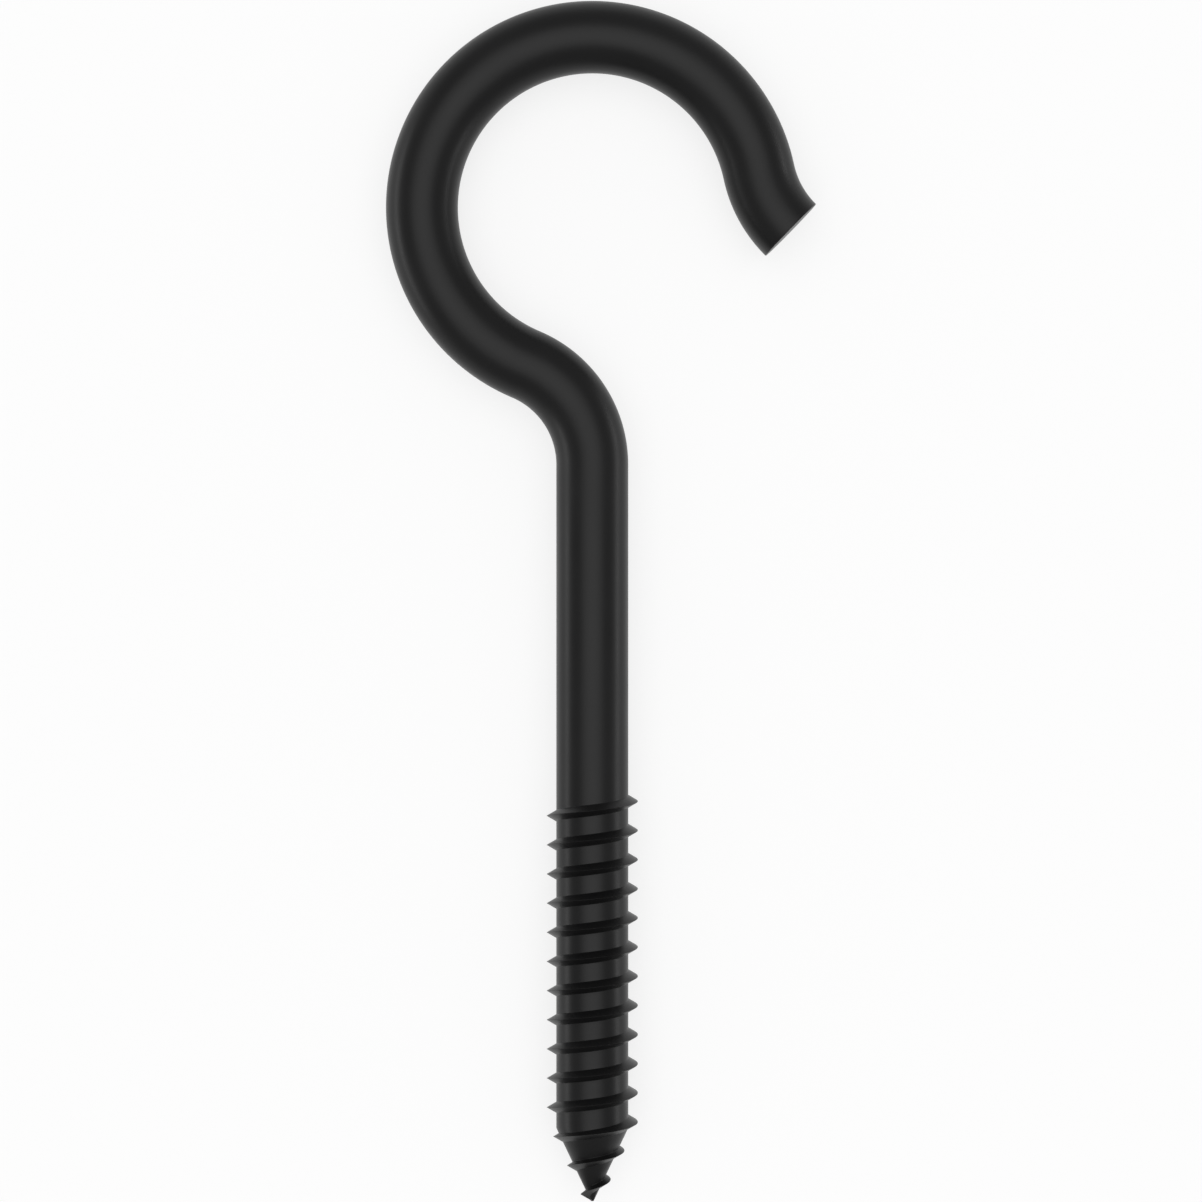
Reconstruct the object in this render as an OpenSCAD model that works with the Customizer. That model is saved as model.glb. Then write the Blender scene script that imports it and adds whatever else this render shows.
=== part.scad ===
// Screw hook, made from one length of round steel wire. One end is bent back into an open eye
// with a flared lip, and the other is rolled with a coarse wood thread and drawn to a point.
// The hook lies on its side: its shank runs along Y, with the eye at +Y and the tip at -Y.

/* [Wire] */
// Diameter of the wire
wire_d = 6; // [5:0.1:7]
// Overall length, from the crown of the eye to the tip
overall_l = 100; // [85:0.5:140]

/* [Eye] */
// Inside diameter of the eye
eye_d = 22.4; // [18:0.1:28]
// Angle through which the wire is bent round the eye
eye_sweep = 235; // [215:0.5:250]
// Inside radius of the bend between the shank and the eye
neck_in_r = 6.06; // [4:0.01:9]
// Inside radius of the flared lip
lip_in_r = 6.6; // [4:0.1:9]
// Angle through which the lip is bent outwards
lip_sweep = 33.5; // [15:0.5:60]

/* [Thread] */
// Length of the threaded end, measured from the tip
thread_l = 34.15; // [20:0.05:45]
// Diameter over the crests
thread_d = 7.6; // [7.2:0.1:8.6]
// Distance along the shank from one crest to the next
pitch = 2.43; // [2:0.01:3]
// Angle of a flank from a plane square to the shank
flank_a = 30; // [25:1:35]
// Width of the flat on the crest
crest_w = 0.06; // [0.02:0.01:0.2]
// Turns over which the thread rises out of the shank
rise_turns = 0.25; // [0.1:0.05:0.5]

/* [Point] */
// Length of the tapered point
point_l = 6.08; // [4:0.01:9]
// Diameter of the blunt tip
tip_d = 0.24; // [0.1:0.02:0.6]
// Height of the thread above the taper of the point
point_h = 0.59; // [0.3:0.01:0.8]
// Length of bare tip beyond the end of the thread
tip_bare = 0.02; // [0.02:0.01:1]

/* [Hidden] */

// Sides of the wire's section, and the largest angle between two rings of a bend
sides = 32;
bend_step = 6;
// Where the thread starts round the shank, in sides short of the underside
early_sides = 3;
start_a = -90 - early_sides * 360 / sides;
// Plain shank between the last smooth ring and the start of the thread
lead = 0.5;
// Least height of a thread section, so that none is flat
least_h = 0.01;

wire_r = wire_d / 2;
eye_r = eye_d / 2 + wire_r;
neck_r = neck_in_r + wire_r;
lip_r = lip_in_r + wire_r;

// The neck turns the wire as far as it must for the eye's centre to lie on the shank's axis
neck_sweep = acos(neck_r / (eye_r + neck_r));
lip_start = 180 + neck_sweep - eye_sweep;

crown_y = overall_l / 2;
tip_y = crown_y - overall_l;
eye_y = crown_y - wire_r - eye_r;
neck_y = eye_y - (eye_r + neck_r) * sin(neck_sweep);
thread_y = min(tip_y + thread_l, neck_y - 2 * lead);
left_x = -eye_r - wire_r;
right_x = (eye_r + lip_r) * cos(lip_start) - (lip_r - wire_r) * cos(lip_start + lip_sweep);

// Where the thread's last crest lies, so that its flat ends above the bare tip
crest_end = tip_y + tip_bare + crest_w / 2;

// Radius of the taper and of the thread's core, at a height along the shank
taper = (wire_d - tip_d) / 2 / point_l;
function taper_r(y) = tip_d / 2 + (y - tip_y) * taper;
function core_r(y) = min(wire_r, taper_r(y));

// Radius of the crest: the full thread, the thread on the point, or what the flanks leave
// room for within the pitch and above the bare tip
function crest_r(y) = min(
    thread_d / 2,
    taper_r(y) + point_h,
    core_r(y) + 0.45 * (pitch - crest_w) / tan(flank_a),
    tip_d / 2 + (y - crest_end) / tan(flank_a));

// A bend of the wire in the plane of the hook, as stations of [x, y, direction of the radius].
// A positive radius and angle turn the wire to the left, negative ones to the right.
function station(at, r, a) =
    [at.x + r * (cos(at.z + a) - cos(at.z)), at.y + r * (sin(at.z + a) - sin(at.z)), at.z + a];
function bend(at, r, a) =
    let (n = ceil(abs(a) / bend_step)) [for (i = [1:n]) station(at, r, a * i / n)];

shank = [[0, thread_y + lead, 0], [0, neck_y, 0]];
neck = bend(shank[1], neck_r, neck_sweep);
eye = bend(neck[len(neck) - 1], -eye_r, -eye_sweep);
lip = bend(eye[len(eye) - 1], lip_r, lip_sweep);
route = concat(shank, neck, eye, lip);

function ring(at) = [for (k = [0:sides - 1])
    let (a = start_a + 360 * k / sides, out = wire_r * cos(a))
    [at.x + out * cos(at.z), at.y + out * sin(at.z), wire_r * sin(a)]];

// The thread is a helix of sections, one to each side of the wire. A section is four corners
// as [radius, y]: the upper foot, both edges of the crest and the lower foot.
last = floor((thread_y - crest_end) / pitch * sides);
function rise(i) = min(1, i / sides / rise_turns);

// A foot is where the flank through a crest's edge meets the core, found in a few rounds
function foot(y, r, side, rounds = 6) =
    rounds == 0 ? y
    : y + side * (crest_w / 2 + (r - core_r(foot(y, r, side, rounds - 1))) * tan(flank_a));

function section(i) =
    let (y = thread_y - pitch * i / sides,
         r = core_r(y) + max(least_h, crest_r(y) - core_r(y)) * rise(i),
         top = foot(y, r, 1), low = max(foot(y, r, -1), tip_y + tip_bare / 2),
         w = crest_w / 2 * rise(i))
    i < 0 ? [for (k = [0:3]) [wire_r, shank[0].y]]
    : i == 0 || i == last ? [for (k = [0:3]) [core_r(y), y]]
    : i > last ? [for (k = [0:3]) [tip_d / 2, tip_y]]
    : [[core_r(top), top], [r, y + w], [r, y - w], [core_r(low), low]];

// A turn of smooth sections comes before the thread, and a turn at the tip after it. Between
// one turn's lower foot and the next turn's upper foot, a fifth corner lies midway on the core.
rows = sides + last + 1 + sides;
sections = [for (j = [0:rows - 1]) section(j - sides)];
function root(j) =
    let (y = (sections[j][3].y + sections[min(j + sides, rows - 1)][0].y) / 2) [core_r(y), y];
thread_points = [for (j = [0:rows - 1])
    let (a = start_a + 360 * j / sides)
    for (c = concat(sections[j], [root(j)])) [c.x * cos(a), c.y, c.x * sin(a)]];

// Index of a corner of a row: its four section corners, its root, and the foot a turn below
function corner(j, k) =
    k == 5 ? corner(j + sides, 0)
    : k == 4 || (j > sides && j < sides + last) ? 5 * j + k
    : 5 * j;

// Two triangles to a strip's cell, or one where a side of the cell is a single point
function cell(a, b, c, d) = [if (a != b) [a, b, c], if (c != d) [a, c, d]];

function turn_faces(end = sides + last) = concat(
    [for (j = [0:end - 1], k = [0:4])
        each cell(corner(j, k), corner(j, k + 1), corner(j + 1, k + 1), corner(j + 1, k))],
    cell(corner(sides - 1, 0), corner(sides, 0), corner(0, 4), corner(0, 0)),
    cell(corner(end, 0), corner(end, 4), corner(end + 1, 0), corner(end + 1, 0)),
    cell(corner(end, 4), corner(rows - 1, 0), corner(end + 1, 0), corner(end + 1, 0)),
    [[for (j = [rows - 1:-1:end + 1]) corner(j, 0)]]);

// Index of a point of the smooth wire: ring 0 is the thread's first turn
function wire_point(i, k) =
    i == 0 ? corner(k % sides, 0) : 5 * rows + (i - 1) * sides + k % sides;

function wire_faces(end = len(route) - 1) = concat(
    [for (i = [1:end], k = [0:sides - 1])
        each cell(wire_point(i, k), wire_point(i - 1, k),
                  wire_point(i - 1, k + 1), wire_point(i, k + 1))],
    [[for (k = [0:sides - 1]) wire_point(end, k)]]);

module screw_hook()
    color([0.13, 0.13, 0.13])
        translate([-(left_x + right_x) / 2, 0, thread_d / 2])
            polyhedron(
                points = concat(thread_points, [for (i = [1:len(route) - 1]) each ring(route[i])]),
                faces = concat(turn_faces(), wire_faces()));

screw_hook();
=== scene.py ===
# %% [markdown]
# # A black screw hook
# The hook is one length of round steel wire. One end was bent into an open eye with a flared
# lip, the other was rolled between two dies into a coarse wood thread, and the whole thing was
# then coated in satin black. The CAD model already gives the size and the place. This script
# gives the hook a finer skin and a finish, and sets up the floor, the lamps and the camera.

# %% Load the frame
import math

import bmesh
import bpy
import numpy as np
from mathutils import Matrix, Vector


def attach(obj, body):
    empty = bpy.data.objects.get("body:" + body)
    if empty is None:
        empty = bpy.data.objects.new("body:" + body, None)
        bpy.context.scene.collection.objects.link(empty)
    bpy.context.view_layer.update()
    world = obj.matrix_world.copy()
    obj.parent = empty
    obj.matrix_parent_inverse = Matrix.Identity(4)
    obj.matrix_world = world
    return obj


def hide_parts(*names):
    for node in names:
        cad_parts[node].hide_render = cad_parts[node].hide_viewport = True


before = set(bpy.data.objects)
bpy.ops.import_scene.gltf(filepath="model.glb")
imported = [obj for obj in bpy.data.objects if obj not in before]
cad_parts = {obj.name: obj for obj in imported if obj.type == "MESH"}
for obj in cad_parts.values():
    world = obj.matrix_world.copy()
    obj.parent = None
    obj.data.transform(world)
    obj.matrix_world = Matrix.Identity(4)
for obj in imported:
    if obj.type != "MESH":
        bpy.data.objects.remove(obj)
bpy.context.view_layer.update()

# %% [markdown]
# ## The sizes
# A maker names such a hook by its wire and its length, here 6 mm and 100 mm. The other sizes
# belong to the tools that shaped it: the pin that the eye was bent round, the pins for the neck
# and the lip, and the pitch and depth of the thread dies. They stand here in millimetres and
# degrees, as on a drawing, and MM turns millimetres into Blender's metres.

# %% Sizes from the drawing
MM = 0.001

WIRE_D = 6.0
OVERALL_L = 100.0
EYE_D = 22.4
EYE_SWEEP = 235.0
NECK_INSIDE_R = 6.06
LIP_INSIDE_R = 6.6
LIP_SWEEP = 33.5
THREAD_L = 34.15
THREAD_D = 7.6
PITCH = 2.43
FLANK_ANGLE = 30.0
RISE_TURNS = 0.25
POINT_L = 6.08
TIP_D = 0.24
POINT_THREAD_H = 0.59
TIP_BARE = 0.05
print(f"A {WIRE_D:.0f} mm wire and {THREAD_L / PITCH:.0f} turns of thread")

# %% [markdown]
# The bends decide where the rest goes. The neck turns just far enough for the eye to come back
# over the shank, so that a load hangs in line with the screw. The box of the finished hook is
# centred on the origin, and the hook lies on its crests, so its axis is half a thread above the
# floor.

# %% Where the bends and the thread lie
wire_r = WIRE_D / 2
eye_r = EYE_D / 2 + wire_r
neck_r = NECK_INSIDE_R + wire_r
lip_r = LIP_INSIDE_R + wire_r
neck_sweep = math.degrees(math.acos(neck_r / (eye_r + neck_r)))
lip_start = 180 + neck_sweep - EYE_SWEEP

crown_y = OVERALL_L / 2
tip_y = crown_y - OVERALL_L
eye_y = crown_y - wire_r - eye_r
neck_y = eye_y - (eye_r + neck_r) * math.sin(math.radians(neck_sweep))
thread_y = tip_y + THREAD_L

left_x = -eye_r - wire_r
lip_centre_x = (eye_r + lip_r) * math.cos(math.radians(lip_start))
right_x = lip_centre_x - (lip_r - wire_r) * math.cos(math.radians(lip_start + LIP_SWEEP))
axis_x = -(left_x + right_x) / 2
axis_z = THREAD_D / 2
print(f"Width {right_x - left_x:.2f} mm, smooth shank {neck_y - thread_y:.2f} mm long")

# %% [markdown]
# ## The route of the wire
# A bent wire is easiest to follow as a bender makes it: feed a straight length, turn left round
# one pin, right round the next, and left again. A Blender curve with a bevel could do this too,
# but it spaces its rings by itself and can't join the thread. So the route is a list of
# stations, each with its x and y, the direction of its radius, and its distance along the wire.
# One comes every 2 mm along the shank and every 2 degrees round a bend. The first lies LEAD
# above the thread, so that the thread rises out of plain wire.

# %% Stations along the route
BEND_STEP = 2.0
SHANK_STEP = 2.0
LEAD = 0.5


def bend(stations, radius, angle):
    """Adds a bend to the route: positive to the left, negative to the right."""
    x, y, heading, distance = stations[-1]
    steps = math.ceil(abs(angle) / BEND_STEP)
    start = math.radians(heading)
    for i in range(1, steps + 1):
        turned = math.radians(heading + angle * i / steps)
        on_x = x + radius * (math.cos(turned) - math.cos(start))
        on_y = y + radius * (math.sin(turned) - math.sin(start))
        along = distance + radius * (turned - start)
        stations.append((on_x, on_y, math.degrees(turned), along))


first_y = thread_y + LEAD
shank_rings = math.ceil((neck_y - first_y) / SHANK_STEP)
shank_ys = [first_y + (neck_y - first_y) * i / shank_rings for i in range(shank_rings + 1)]
route = [(0.0, y, 0.0, y) for y in shank_ys]
bend(route, neck_r, neck_sweep)
bend(route, -eye_r, -EYE_SWEEP)
bend(route, lip_r, LIP_SWEEP)
wire_end = route[-1][3]
print(f"The route has {len(route)} stations and ends {wire_end - tip_y:.0f} mm along the wire")

# %% [markdown]
# ## The cut through the thread
# The dies press a sharp ridge up out of the wire. Cut along the axis it is a triangle, with
# flanks 30 degrees off square and a crest just blunt enough not to cut a hand. On the point the
# ridge follows the taper and gets lower, until it ends TIP_BARE above the tip. These functions
# give the radius of the core and of the crest at any y.

# %% Core and crest
FOOT_ROUNDS = 8

flank_tan = math.tan(math.radians(FLANK_ANGLE))
taper = (wire_r - TIP_D / 2) / POINT_L


def taper_radius(y):
    """Radius of the point's cone, which runs on past the point as if there were no wire."""
    return TIP_D / 2 + (y - tip_y) * taper


def core_radius(y):
    """Radius of the wire or the point, under the ridge."""
    return min(wire_r, taper_radius(y))


def crest_radius(y):
    """Radius over the ridge: full on the shank, lower on the point, nothing at the bare tip."""
    room_at_tip = TIP_D / 2 + (y - tip_y - TIP_BARE) / flank_tan
    return min(THREAD_D / 2, taper_radius(y) + POINT_THREAD_H, room_at_tip)


def foot(y, apex, side):
    """Where the flank from a sharp apex meets the core, found in a few rounds."""
    at = y
    for _ in range(FOOT_ROUNDS):
        at = y + side * (apex - core_radius(at)) * flank_tan
    return at


print(f"The point tapers by {math.degrees(math.atan(taper)):.0f} degrees on each side")

# %% [markdown]
# No real edge is perfectly sharp, and a rounded one catches a thin line of light, which makes a
# render look made of metal. A Bevel modifier would round the ridge too, but at the run-outs,
# where the ridge shrinks to nothing, its bevels would cross. A true arc in the cut itself can
# shrink with the ridge. Its centre lies on the line that halves the corner, so that it touches
# both sides. The metal also leaves a small hollow radius along each foot. LEAST_H keeps the cut
# from going flat.

# %% The ridge's corners, rounded
LEAST_H = 0.01
CREST_RADIUS = 0.012
FOOT_RADIUS = 0.05
CREST_ARC = 4
FOOT_ARC = 3
RIDGE_POINTS = 2 * (FOOT_ARC + 1) + CREST_ARC + 1


def arc(before, corner, after, radius, steps):
    """The arc that rounds one corner of a polyline."""
    before, corner, after = np.array(before), np.array(corner), np.array(after)
    back = (before - corner) / np.linalg.norm(before - corner)
    on = (after - corner) / np.linalg.norm(after - corner)
    half = math.acos(float(back @ on)) / 2
    centre = corner + (back + on) / np.linalg.norm(back + on) * radius / math.sin(half)
    first = corner + back * radius / math.tan(half) - centre
    last = corner + on * radius / math.tan(half) - centre
    arms = [first * (1 - i / steps) + last * i / steps for i in range(steps + 1)]
    return [centre + arm * radius / np.linalg.norm(arm) for arm in arms]


def ridge(y, rise):
    """The ridge's cut at one place, as [radius, y], from the eye's side to the tip's side."""
    height = max(LEAST_H, crest_radius(y) - core_radius(y)) * rise
    scale = height / (THREAD_D / 2 - wire_r)
    apex_r = core_radius(y) + height + CREST_RADIUS * scale
    high, low = foot(y, apex_r, 1), foot(y, apex_r, -1)
    above, below = high + FOOT_RADIUS, low - FOOT_RADIUS
    outline = [(core_radius(at), at) for at in (above, high, low, below)]
    outline.insert(2, (apex_r, y))
    return (
        arc(*outline[0:3], FOOT_RADIUS * scale, FOOT_ARC)
        + arc(*outline[1:4], CREST_RADIUS * scale, CREST_ARC)
        + arc(*outline[2:5], FOOT_RADIUS * scale, FOOT_ARC)
    )


SAMPLE_TURN = 4
sample = ridge(thread_y - SAMPLE_TURN * PITCH, 1.0)
sample_d = 2 * max(point[0] for point in sample)
sample_base = sample[0][1] - sample[-1][1]
print(f"Crest {sample_d:.2f} mm over, base {sample_base:.2f} mm")

# %% [markdown]
# ## The thread's skin
# A thread could come from a Screw modifier and a Boolean, but that leaves slivers where it runs
# out. Here the rows of the mesh follow the helix, so the crest is one clean line of edges. A row
# is the ridge's cut at one angle round the wire, then a few points down the core to the ridge
# of the next turn. One plain turn comes before the thread and one after it, at the blunt tip.
# The underside is at -90 degrees. The thread starts 34 degrees before it, and hardly shows there.

# %% Rows round the helix
SIDES = 96
CORE_POINTS = 3
ROW = RIDGE_POINTS + CORE_POINTS
START_ANGLE = -123.75

last_row = math.floor((THREAD_L - TIP_BARE) / PITCH * SIDES)


def row_ridge(i):
    """Row i of the ridge. Beyond both ends of the thread its points fall together."""
    y = thread_y - PITCH * i / SIDES
    if i < 0:
        return [(wire_r, first_y)] * RIDGE_POINTS
    if i > last_row:
        return [(TIP_D / 2, tip_y)] * RIDGE_POINTS
    if i in (0, last_row):
        return [(core_radius(y), y)] * RIDGE_POINTS
    return ridge(y, min(1.0, i / SIDES / RISE_TURNS))


def row_angle(j):
    """Angle of row j round the wire."""
    return math.radians(START_ANGLE + 360 * j / SIDES)


ridges = [row_ridge(i) for i in range(-SIDES, last_row + SIDES + 1)]
rows = []
for j, cut in enumerate(ridges):
    next_cut = ridges[min(j + SIDES, len(ridges) - 1)]
    core_ys = np.linspace(cut[-1][1], next_cut[0][1], CORE_POINTS + 2)[1:-1]
    rows.append(cut + [(core_radius(y), y) for y in core_ys])
print(len(rows), "rows of", ROW, "points")

# %% [markdown]
# Each point is kept twice: where it is, and where it would be on the wire before bending. The
# second place is stored in the mesh as an attribute, so that marks left by the drawing die can
# run along the wire through every bend.

# %% Points of the thread
points, unbent = [], []
for j, row in enumerate(rows):
    across, up = math.cos(row_angle(j)), math.sin(row_angle(j))
    for radius, y in row:
        points.append((axis_x + radius * across, y, axis_z + radius * up))
        unbent.append((radius * across, y, radius * up))


def row_point(j, k):
    """Index of point k of row j. Past the row's end comes the first point a turn below."""
    return (j + SIDES) * ROW if k == ROW else j * ROW + k


print(len(points), "points on the thread")

# %% [markdown]
# Four neighbours make a face. Two small gaps are left where the first and the last row of the
# ridge meet the plain turn beside them, and a fan of triangles closes each. The tip is one flat
# face.

# %% Faces of the thread
faces = []
end = len(rows) - SIDES - 1
for j in range(end):
    for k in range(ROW):
        face = row_point(j, k), row_point(j + 1, k), row_point(j + 1, k + 1), row_point(j, k + 1)
        faces.append(face)


def fan(centre, rim):
    """Adds a triangle from one point to each step along a rim."""
    for a, b in zip(rim[:-1], rim[1:]):
        faces.append((centre, a, b))


core_columns = range(RIDGE_POINTS, ROW)
fan(row_point(SIDES - 1, 0), [0, *core_columns, row_point(SIDES, 0)])
last_column = [row_point(end, k) for k in core_columns]
fan(row_point(end + 1, 0), [row_point(end, 0), *last_column, row_point(len(rows) - 1, 0)])
faces.append([row_point(j, 0) for j in range(end + 1, len(rows))])
print(len(faces), "faces on the thread")

# %% [markdown]
# ## The bent wire's skin
# From the first plain turn on, the wire is a chain of rings, one to a station. At the lip the
# wire was cut off square. Tumbling before the coat takes the burr off such an end, so its edge
# is rounded a little, in an arc of a few rings. Smaller rings then divide the flat face, so that
# it isn't filled with long thin triangles.

# %% Rings along the route
END_RADIUS = 0.06
END_ARC = 4
END_SHARES = (0.75, 0.5, 0.25)


def add_ring(before, station, radius, forward=0.0):
    """Adds a ring and joins it to the one before. Forward shifts it along the wire."""
    x, y, heading, distance = station
    turn = math.radians(heading)
    ring = range(len(points), len(points) + SIDES)
    for j in range(SIDES):
        across, up = radius * math.cos(row_angle(j)), radius * math.sin(row_angle(j))
        on_x = axis_x + x + across * math.cos(turn) - forward * math.sin(turn)
        on_y = y + across * math.sin(turn) + forward * math.cos(turn)
        points.append((on_x, on_y, axis_z + up))
        unbent.append((across, distance + forward, up))
    for j in range(SIDES):
        k = (j + 1) % SIDES
        faces.append((ring[j], ring[k], before[k], before[j]))
    return ring


ring = [row_point(j, 0) for j in range(SIDES)]
for station in route[1:-1]:
    ring = add_ring(ring, station, wire_r)
for i in range(END_ARC + 1):
    a = math.radians(90 * i / END_ARC)
    inset, back = END_RADIUS * (1 - math.cos(a)), END_RADIUS * (1 - math.sin(a))
    ring = add_ring(ring, route[-1], wire_r - inset, -back)
for share in END_SHARES:
    ring = add_ring(ring, route[-1], wire_r * share)
faces.append(list(ring))
print(len(points), "points and", len(faces), "faces in all")

# %% [markdown]
# ## From lists to a mesh
# The plain turns hold many points in one place. BMesh merges them, drops the faces that shrank
# to nothing, turns all faces outwards, and tells whether the skin is closed.

# %% One closed skin
MERGE_DISTANCE = 1e-8

mesh = bpy.data.meshes.new("hook_wire")
mesh.from_pydata((np.array(points) * MM).tolist(), [], faces)
before_bending = mesh.attributes.new("before_bending", "FLOAT_VECTOR", "POINT")
before_bending.data.foreach_set("vector", (np.array(unbent) * MM).ravel())

bm = bmesh.new()
bm.from_mesh(mesh)
bmesh.ops.remove_doubles(bm, verts=bm.verts, dist=MERGE_DISTANCE)
bmesh.ops.recalc_face_normals(bm, faces=bm.faces)
open_edges = sum(1 for edge in bm.edges if len(edge.link_faces) != 2)
volume = bm.calc_volume() / MM**3
print(len(bm.verts), "points,", len(bm.faces), "faces,", open_edges, "open edges")
print(f"Volume {volume:.0f} mm3")
bm.to_mesh(mesh)
bm.free()

# %% [markdown]
# Smooth shading blends the normals across every edge, so a narrow arc would tint the broad flank
# beside it. The Weighted Normal modifier lets the broad faces decide, which keeps the flanks
# flat, and the few edges sharper than SHARP_ANGLE stay sharp. The finished hook then takes the
# place of the plain solid.

# %% The hook as an object
NORMAL_WEIGHT = 90
SHARP_ANGLE = 50.0

mesh.polygons.foreach_set("use_smooth", [True] * len(mesh.polygons))
mesh.set_sharp_from_angle(angle=math.radians(SHARP_ANGLE))
hook = bpy.data.objects.new("hook_wire", mesh)
bpy.context.scene.collection.objects.link(hook)
flat_flanks = hook.modifiers.new("flat_flanks", "WEIGHTED_NORMAL")
flat_flanks.weight = NORMAL_WEIGHT
flat_flanks.keep_sharp = True
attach(hook, "root")
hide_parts("screw_hook")
print(hook.name, "has", len(mesh.polygons), "faces")

# %% [markdown]
# ## Shader maths as plain sums
# A finish is a sum: a roughness, a little more of it here, a little less there. In Blender each
# step of such a sum is a node. The class below wraps a node's output so that the sums can be
# written as in Python.


# %% A number that varies over the surface
class Varying:
    def __init__(self, finish, socket):
        self.finish = finish
        self.socket = socket

    def _math(self, operation, first, second):
        return self.finish.node("ShaderNodeMath", {"operation": operation}, {0: first, 1: second})

    def __add__(self, other):
        return self._math("ADD", self, other)

    def __sub__(self, other):
        return self._math("SUBTRACT", self, other)

    def __rsub__(self, other):
        return self._math("SUBTRACT", other, self)

    def __mul__(self, other):
        return self._math("MULTIPLY", self, other)

    __radd__ = __add__
    __rmul__ = __mul__


print("Sums and products of sockets are ready")

# %% [markdown]
# Any other kind of node comes from one method, which takes its type, its settings and what goes
# into it. The material could be wired up node by node too, but this way a finish reads as a
# short recipe. Three helpers name the nodes that the hook needs most.


# %% A finish, which is a material made from such numbers
class Finish:
    def __init__(self, name, constants):
        self.material = bpy.data.materials.new(name)
        self.material.use_nodes = True
        self.tree = self.material.node_tree
        self.shader = self.tree.nodes["Principled BSDF"]
        for socket, value in constants.items():
            self.shader.inputs[socket].default_value = value

    def node(self, kind, settings, inputs, output=0):
        """Adds a node of any kind and gives back one of its outputs."""
        made = self.tree.nodes.new(kind)
        for name, value in settings.items():
            setattr(made, name, value)
        for name, value in inputs.items():
            self.feed(made.inputs[name], value)
        return Varying(self, made.outputs[output])

    def feed(self, socket, value):
        """Links what varies to a socket, and writes anything else into it."""
        if isinstance(value, Varying):
            self.tree.links.new(value.socket, socket)
        else:
            socket.default_value = value

    def noise(self, place, scale):
        """Soft noise around 0.5, whose blotches are about 1 / scale metres wide."""
        return self.node("ShaderNodeTexNoise", {}, {"Vector": place, "Scale": scale})

    def stretched(self, place, factors):
        """A place with each axis times a factor. A factor near 0 draws noise out into streaks."""
        settings = {"operation": "MULTIPLY"}
        return self.node("ShaderNodeVectorMath", settings, {0: place, 1: factors})

    def mixed(self, share, first, second):
        """A colour between two others. A Mix node keeps its colour sockets at 6 and 7."""
        inputs = {0: share, 6: first, 7: second}
        return self.node("ShaderNodeMix", {"data_type": "RGBA"}, inputs, output=2)


print("A finish can be mixed")

# %% [markdown]
# ## The black coat
# The coat is thin and even, a near black with a satin sheen: a soft line of light down the
# middle of the wire, and more light along its sides, where any coat turns glossy at a glancing
# angle. It is grey-black and not pure black, because nothing real is. A plain roughness would
# look like plastic film, so it swings a little from place to place, as a sprayed coat does: in
# broad clouds, and in a fine speckle.

# %% Colour and sheen
COAT_DARK = (0.0042, 0.0042, 0.0043, 1)
COAT_LIGHT = (0.0062, 0.0062, 0.0064, 1)
COAT_ROUGHNESS = 0.37
COAT_SPECULAR = 0.22
CLOUD_SCALE, CLOUD_SWING = 180.0, 0.1
SPECKLE_SCALE, SPECKLE_SWING = 5200.0, 0.06

coat = Finish("black_coat", {"Specular IOR Level": COAT_SPECULAR})
place = coat.node("ShaderNodeTexCoord", {}, {}, output="Object")
clouds = coat.noise(place, CLOUD_SCALE)
speckle = coat.noise(place, SPECKLE_SCALE)
coat.feed(coat.shader.inputs["Base Color"], coat.mixed(clouds, COAT_DARK, COAT_LIGHT))
sheen = COAT_ROUGHNESS + CLOUD_SWING * (clouds - 0.5) + SPECKLE_SWING * (speckle - 0.5)
coat.feed(coat.shader.inputs["Roughness"], sheen)
most_swing = (CLOUD_SWING + SPECKLE_SWING) / 2
print(f"Roughness {COAT_ROUGHNESS}, give or take {most_swing:.2f} at most")

# %% [markdown]
# Seen close, the coat has the fine ripple that painters call orange peel, and under it the
# drawing die left faint lines along the wire. Both are at most a few thousandths of a millimetre
# deep, so they belong in a bump and not in the mesh. The lines read the place before bending,
# squeezed to almost nothing along the wire, which draws the noise out into long streaks.

# %% Orange peel and drawn lines
PEEL_SCALE, PEEL_SHARE = 2400.0, 0.75
LINES_SCALE, LINES_SHARE = 6000.0, 0.25
LINES_SQUEEZE = (1.0, 0.02, 1.0)

on_wire = coat.node(
    "ShaderNodeAttribute", {"attribute_name": "before_bending"}, {}, output="Vector"
)
drawn_lines = coat.noise(coat.stretched(on_wire, LINES_SQUEEZE), LINES_SCALE)
orange_peel = coat.noise(place, PEEL_SCALE)
height = PEEL_SHARE * orange_peel + LINES_SHARE * drawn_lines
print(f"Ripples {1000 / PEEL_SCALE:.1f} mm wide, lines {1000 / LINES_SCALE:.1f} mm apart")

# %% [markdown]
# At the lip the wire was sheared off, and the blade dragged shallow ridges across the cut, which
# the coat doesn't quite fill. They could be cut into the mesh, but they are as narrow as the
# ripples of the orange peel and only hundredths of a millimetre deep, so the bump carries them
# too. Another squeeze of the noise draws them out across the cut. Before bending, the cut is the
# furthest place along the wire, so a plain test of that distance finds it, with CUT_LAYER to
# spare.

# %% Marks of the blade on the cut end
CUT_LAYER = 0.001
BLADE_SCALE, BLADE_SHARE = 2500.0, 16.0
BLADE_SQUEEZE = (0.08, 0.0, 1.0)

along = coat.node("ShaderNodeSeparateXYZ", {}, {"Vector": on_wire}, output="Y")
cut_at = (wire_end - CUT_LAYER) * MM
on_cut = coat.node("ShaderNodeMath", {"operation": "GREATER_THAN"}, {0: along, 1: cut_at})
blade_marks = coat.noise(coat.stretched(on_wire, BLADE_SQUEEZE), BLADE_SCALE)
height = height + BLADE_SHARE * on_cut * (blade_marks - 0.5)
print(f"The cut lies {wire_end:.1f} mm along the wire from the origin")

# %% [markdown]
# One Bump node turns all these heights into a tilt of the surface. A height of 1 stands for
# PEEL_DEPTH, four thousandths of a millimetre.

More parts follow.
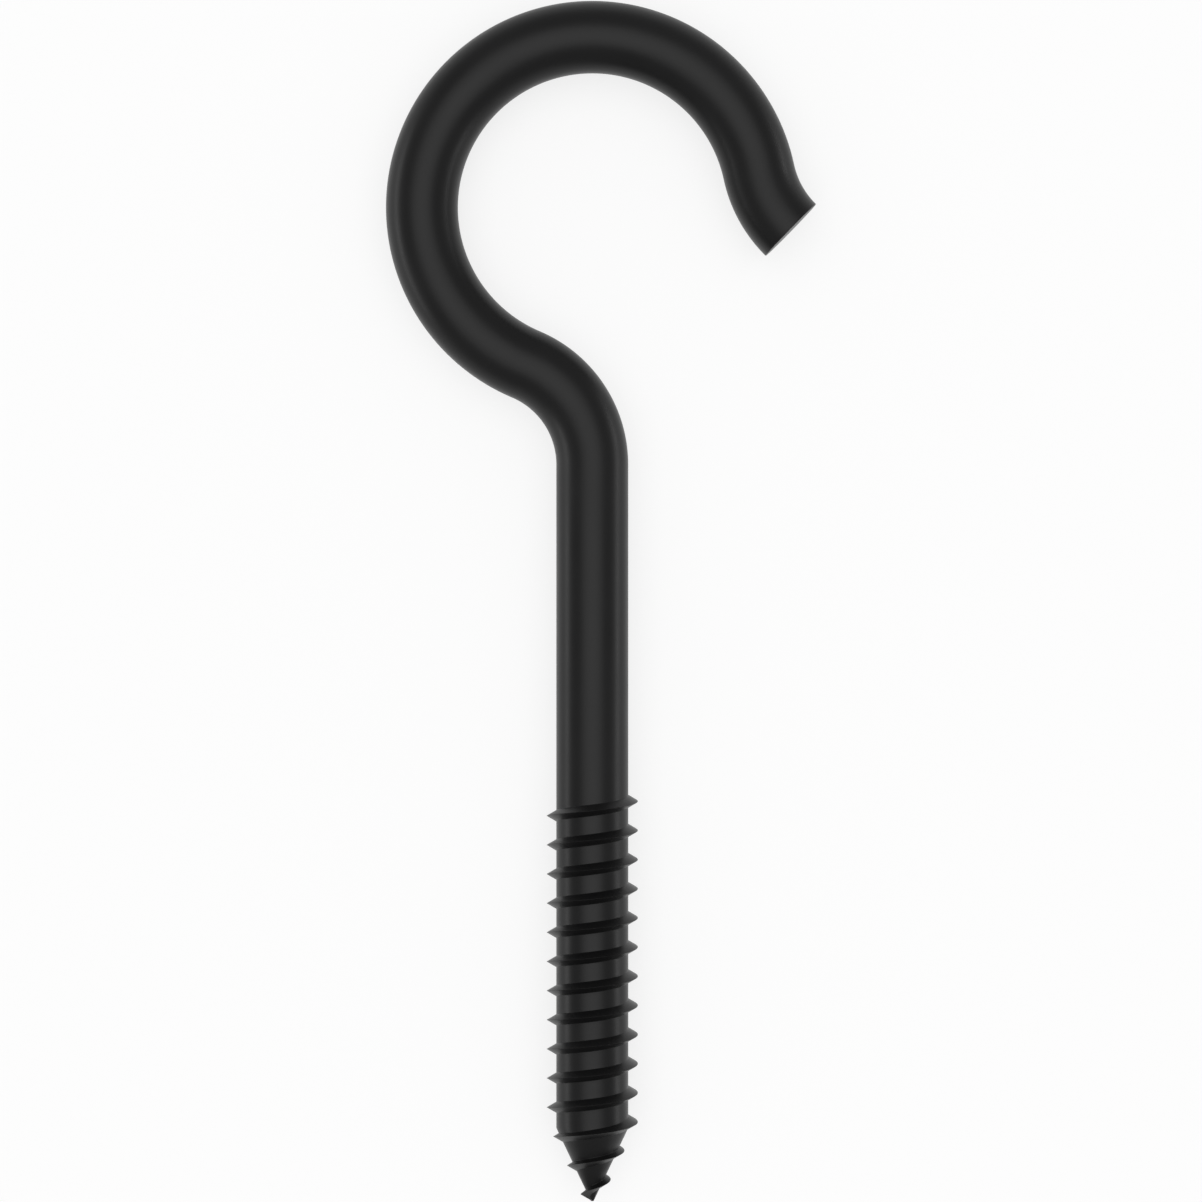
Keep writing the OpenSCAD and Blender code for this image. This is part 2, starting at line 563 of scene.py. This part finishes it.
# %% The bumps of the whole coat
PEEL_DEPTH = 0.004 * MM

bump_inputs = {"Strength": 1.0, "Distance": PEEL_DEPTH, "Height": height}
bumps = coat.node("ShaderNodeBump", {}, bump_inputs)
coat.feed(coat.shader.inputs["Normal"], bumps)
mesh.materials.append(coat.material)
print("The coat has", len(coat.tree.nodes), "nodes")

# %% [markdown]
# ## The floor
# The hook lies on a sheet of white paper that reaches past every view of it. Paper lit by a
# soft lamp is never quite as white as the background of a catalogue picture. So where the camera
# looks at it, or sees it mirrored in the coat, part of it glows by itself, and the rest is lit
# by the lamps and keeps the hook's shadow.

# %% The sheet and its paper
PAPER_SIZE = 12.0
PAPER_WHITE = (0.95, 0.95, 0.95, 1)
PAPER_SPECULAR = 0.1
PAPER_ROUGHNESS = 0.85
TOOTH_SCALE, TOOTH_SHARE = 900.0, 0.1

half = PAPER_SIZE / 2
corners = [(-half, -half, 0), (half, -half, 0), (half, half, 0), (-half, half, 0)]
paper_mesh = bpy.data.meshes.new("white_paper")
paper_mesh.from_pydata(corners, [], [(0, 1, 2, 3)])
paper = bpy.data.objects.new("white_paper", paper_mesh)
bpy.context.scene.collection.objects.link(paper)

sheet = Finish("white_paper", {"Base Color": PAPER_WHITE, "Specular IOR Level": PAPER_SPECULAR})
tooth = sheet.noise(sheet.node("ShaderNodeTexCoord", {}, {}, output="Object"), TOOTH_SCALE)
sheet.feed(sheet.shader.inputs["Roughness"], PAPER_ROUGHNESS + TOOTH_SHARE * tooth)
paper_mesh.materials.append(sheet.material)
print(f"A sheet {PAPER_SIZE:.0f} m wide")

# %% [markdown]
# A Light Path node tells what kind of ray has met the paper. The sum below is 1 for a ray from
# the camera, from a mirroring surface or through a clear one, and 0 for a diffuse ray. So the
# glow shows, but adds no light to the hook's own colour. At strength 1 it is plain white.

# %% The paper's glow
GLOW_STRENGTH = 1.0
GLOW_SHARE = 0.76

glow = sheet.node("ShaderNodeEmission", {}, {"Strength": GLOW_STRENGTH})
seen = sheet.node("ShaderNodeLightPath", {}, {}, output="Is Camera Ray")
mirrored = sheet.node("ShaderNodeLightPath", {}, {}, output="Is Glossy Ray")
through = sheet.node("ShaderNodeLightPath", {}, {}, output="Is Transmission Ray")
share = GLOW_SHARE * (seen + mirrored + through)
lit = Varying(sheet, sheet.shader.outputs[0])
paper_look = sheet.node("ShaderNodeMixShader", {}, {0: share, 1: lit, 2: glow})
sheet.feed(sheet.tree.nodes["Material Output"].inputs["Surface"], paper_look)
print(f"The paper glows by {GLOW_SHARE:.0%} where it is seen")

# %% [markdown]
# ## The lamps
# A round black wire shows its lamps as stripes. A broad lamp overhead, brighter at its middle,
# gives the soft stripe down the wire. On each side stands a low strip, which lights up the sides
# of the wire and fades towards its top. A taller lamp there would show as a stripe of its own.
# Nothing stands at the head or the foot, so the crown of the eye stays darker at its edges.

# %% Area lamps aimed at the hook
# Each has a name, its place and its two sides in metres, and its watts
LAMPS = [
    ("overhead", (0, 0, 1.6), (2.0, 2.0), 15.6),
    ("overhead_middle", (0, 0, 1.5), (0.94, 0.94), 1.35),
    ("low_strip", (-1.2, 0, 0.05), (1.2, 0.1), 3.3),
    ("low_strip", (1.2, 0, 0.05), (1.2, 0.1), 3.3),
]

for name, at, size, watts in LAMPS:
    lamp = bpy.data.lights.new(name, "AREA")
    lamp.shape = "RECTANGLE"
    lamp.size, lamp.size_y = size
    lamp.energy = watts
    holder = bpy.data.objects.new(name, lamp)
    holder.location = at
    holder.rotation_euler = (-Vector(at)).to_track_quat("-Z", "Y").to_euler()
    holder.visible_camera = False
    bpy.context.scene.collection.objects.link(holder)
    print(f"{holder.name}: {watts} W")

# %% [markdown]
# ## The room
# The rest of the light comes from a pale room, an even grey all round. The Standard view shows
# every colour as it is, where Blender's usual one would grey the white paper.

# %% An even pale world
ROOM_COLOUR = (1, 1, 1, 1)
ROOM_LEVEL = 0.5

world = bpy.data.worlds.new("pale_room")
world.use_nodes = True
background = world.node_tree.nodes["Background"]
background.inputs["Color"].default_value = ROOM_COLOUR
background.inputs["Strength"].default_value = ROOM_LEVEL
bpy.context.scene.world = world
bpy.context.scene.view_settings.view_transform = "Standard"
print("Room level", ROOM_LEVEL)

# %% [markdown]
# ## The camera
# In the photograph the teeth near the point are sharp on the left and rounder on the right, and
# a sliver of the cut end shows. Both tell that the camera stood only a third of a metre away.
# Here the hook lies down, so the camera looks straight down on it from that height, with the
# eye at the top of the picture. The frame is a hair wider than the hook is long.

# %% A camera straight above
SENSOR_WIDTH = 36.0
CAMERA_HEIGHT = 0.345
FRAME_WIDTH = 100.2 * MM

camera_data = bpy.data.cameras.new("studio_camera")
camera_data.sensor_width = SENSOR_WIDTH
camera_data.lens = SENSOR_WIDTH * (CAMERA_HEIGHT - axis_z * MM) / FRAME_WIDTH
camera = bpy.data.objects.new("studio_camera", camera_data)
camera.location = (0, 0, CAMERA_HEIGHT)
bpy.context.scene.collection.objects.link(camera)
bpy.context.scene.camera = camera
print(f"A {camera_data.lens:.0f} mm lens")
